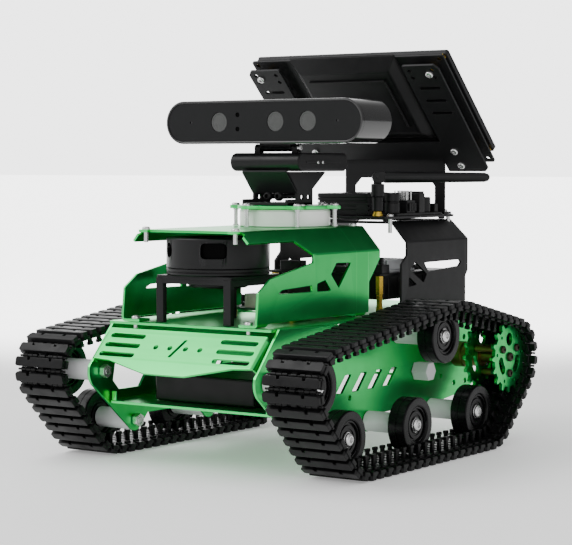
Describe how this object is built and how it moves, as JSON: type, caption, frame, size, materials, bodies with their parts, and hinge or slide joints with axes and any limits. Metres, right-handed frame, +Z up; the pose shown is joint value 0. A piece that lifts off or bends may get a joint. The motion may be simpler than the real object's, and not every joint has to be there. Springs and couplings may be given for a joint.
{
  "type": "tracked robot chassis",
  "caption": "Tracked robot chassis with folded metal hull, scanning lidar, depth camera on a tilting foot and a sloping touch screen.",
  "frame": {"origin": "centre of the footprint on the ground", "axes": "+X to the left of the vehicle, -Y forwards, +Z up"},
  "size_m": [0.247, 0.308, 0.2814],
  "materials": {
    "track_plastic": "semi-matt moulded plastic",
    "black_plastic": "satin moulded plastic",
    "bare_aluminium": "plain turned",
    "steel": "plain",
    "green_metal": "satin anodised",
    "black_metal": "satin anodised",
    "silver_metal": "brushed",
    "brass": "plain",
    "circuit_board": "solder resist",
    "screen_glass": "glossy"
  },
  "bodies": {
    "chassis": {"bottom_plate": "green_metal", "deck_plate": "green_metal", "front_bumper": "green_metal", "rear_panel": "green_metal", "battery_pack": "black_plastic", "front_cover": "green_metal", "rear_cover": "black_metal", "rear_deck": "black_metal", "front_board": "circuit_board", "driver_board": "black_plastic", "computer_case": "black_plastic", "connector_board": "black_plastic", "lidar_bracket": "black_metal", "lidar_base": "black_plastic", "speaker_drum": "silver_metal", "drum_cap": "green_metal", "camera_bracket": "black_metal", "camera_foot": "black_plastic", "screen_stand": "black_metal", "screen_bracket": "black_metal", "screen_board": "black_plastic", "screen_display": "screen_glass", "antenna_socket": "brass", "track_left": "track_plastic", "motor_left": "steel", "side_plate_left": "green_metal", "hex_spacer_left": "bare_aluminium", "idler_axle_left": "bare_aluminium", "return_axle_left": "bare_aluminium", "road_1_axle_left": "bare_aluminium", "road_2_axle_left": "bare_aluminium", "road_3_axle_left": "bare_aluminium", "track_right": "track_plastic", "motor_right": "steel", "side_plate_right": "green_metal", "hex_spacer_right": "bare_aluminium", "idler_axle_right": "bare_aluminium", "return_axle_right": "bare_aluminium", "road_1_axle_right": "bare_aluminium", "road_2_axle_right": "bare_aluminium", "road_3_axle_right": "bare_aluminium"},
    "sprocket_left": {"sprocket_outer_left": "green_metal", "sprocket_inner_left": "green_metal"},
    "idler_wheel_left_body": {"idler_wheel_left": "black_plastic"},
    "return_wheel_left_body": {"return_wheel_left": "black_plastic"},
    "road_1_wheel_left_body": {"road_1_wheel_left": "black_plastic"},
    "road_2_wheel_left_body": {"road_2_wheel_left": "black_plastic"},
    "road_3_wheel_left_body": {"road_3_wheel_left": "black_plastic"},
    "sprocket_right": {"sprocket_outer_right": "green_metal", "sprocket_inner_right": "green_metal"},
    "idler_wheel_right_body": {"idler_wheel_right": "black_plastic"},
    "return_wheel_right_body": {"return_wheel_right": "black_plastic"},
    "road_1_wheel_right_body": {"road_1_wheel_right": "black_plastic"},
    "road_2_wheel_right_body": {"road_2_wheel_right": "black_plastic"},
    "road_3_wheel_right_body": {"road_3_wheel_right": "black_plastic"},
    "lidar_turret": {"lidar_head": "black_plastic"},
    "camera": {"camera_body": "black_plastic"},
    "antenna_mast": {"antenna_base": "black_plastic"},
    "antenna_blade": {"antenna_rod": "black_plastic"}
  },
  "joints": [
    {"name": "sprocket_left_spin", "type": "hinge", "parent": "chassis", "child": "sprocket_left", "pos_m": [0.102, 0.10999, 0.0618], "axis": [1, 0, 0], "continuous": true},
    {"name": "idler_wheel_left_spin", "type": "hinge", "parent": "chassis", "child": "idler_wheel_left_body", "pos_m": [0.102, -0.12801, 0.062], "axis": [1, 0, 0], "continuous": true},
    {"name": "return_wheel_left_spin", "type": "hinge", "parent": "chassis", "child": "return_wheel_left_body", "pos_m": [0.102, 0.02899, 0.0825], "axis": [1, 0, 0], "continuous": true},
    {"name": "road_1_wheel_left_spin", "type": "hinge", "parent": "chassis", "child": "road_1_wheel_left_body", "pos_m": [0.102, -0.09351, 0.0253], "axis": [1, 0, 0], "continuous": true},
    {"name": "road_2_wheel_left_spin", "type": "hinge", "parent": "chassis", "child": "road_2_wheel_left_body", "pos_m": [0.102, -0.00901, 0.0253], "axis": [1, 0, 0], "continuous": true},
    {"name": "road_3_wheel_left_spin", "type": "hinge", "parent": "chassis", "child": "road_3_wheel_left_body", "pos_m": [0.102, 0.07549, 0.0253], "axis": [1, 0, 0], "continuous": true},
    {"name": "sprocket_right_spin", "type": "hinge", "parent": "chassis", "child": "sprocket_right", "pos_m": [-0.102, 0.10999, 0.0618], "axis": [1, 0, 0], "continuous": true},
    {"name": "idler_wheel_right_spin", "type": "hinge", "parent": "chassis", "child": "idler_wheel_right_body", "pos_m": [-0.102, -0.12801, 0.062], "axis": [1, 0, 0], "continuous": true},
    {"name": "return_wheel_right_spin", "type": "hinge", "parent": "chassis", "child": "return_wheel_right_body", "pos_m": [-0.102, 0.02899, 0.0825], "axis": [1, 0, 0], "continuous": true},
    {"name": "road_1_wheel_right_spin", "type": "hinge", "parent": "chassis", "child": "road_1_wheel_right_body", "pos_m": [-0.102, -0.09351, 0.0253], "axis": [1, 0, 0], "continuous": true},
    {"name": "road_2_wheel_right_spin", "type": "hinge", "parent": "chassis", "child": "road_2_wheel_right_body", "pos_m": [-0.102, -0.00901, 0.0253], "axis": [1, 0, 0], "continuous": true},
    {"name": "road_3_wheel_right_spin", "type": "hinge", "parent": "chassis", "child": "road_3_wheel_right_body", "pos_m": [-0.102, 0.07549, 0.0253], "axis": [1, 0, 0], "continuous": true},
    {"name": "lidar_spin", "type": "hinge", "parent": "chassis", "child": "lidar_turret", "pos_m": [0, -0.08751, 0.14], "axis": [0, 0, 1], "continuous": true},
    {"name": "camera_tilt", "type": "hinge", "parent": "chassis", "child": "camera", "pos_m": [0, -0.01801, 0.2115], "axis": [1, 0, 0], "range_deg": [-15, 15]},
    {"name": "antenna_swivel", "type": "hinge", "parent": "chassis", "child": "antenna_mast", "pos_m": [0.0353, 0.05699, 0.178], "axis": [0, 0, 1], "range_deg": [-110, 0]},
    {"name": "antenna_fold", "type": "hinge", "parent": "antenna_mast", "child": "antenna_blade", "pos_m": [0.0353, 0.05699, 0.1908], "axis": [0.5736, -0.8192, 0], "range_deg": [0, 30]}
  ],
  "couplings": [
    {"joint": "idler_wheel_left_spin", "follows": "sprocket_left_spin", "ratio": 1.14},
    {"joint": "return_wheel_left_spin", "follows": "sprocket_left_spin", "ratio": 1.27},
    {"joint": "road_1_wheel_left_spin", "follows": "sprocket_left_spin", "ratio": 1.27},
    {"joint": "road_2_wheel_left_spin", "follows": "sprocket_left_spin", "ratio": 1.27},
    {"joint": "road_3_wheel_left_spin", "follows": "sprocket_left_spin", "ratio": 1.27},
    {"joint": "idler_wheel_right_spin", "follows": "sprocket_right_spin", "ratio": 1.14},
    {"joint": "return_wheel_right_spin", "follows": "sprocket_right_spin", "ratio": 1.27},
    {"joint": "road_1_wheel_right_spin", "follows": "sprocket_right_spin", "ratio": 1.27},
    {"joint": "road_2_wheel_right_spin", "follows": "sprocket_right_spin", "ratio": 1.27},
    {"joint": "road_3_wheel_right_spin", "follows": "sprocket_right_spin", "ratio": 1.27}
  ]
}
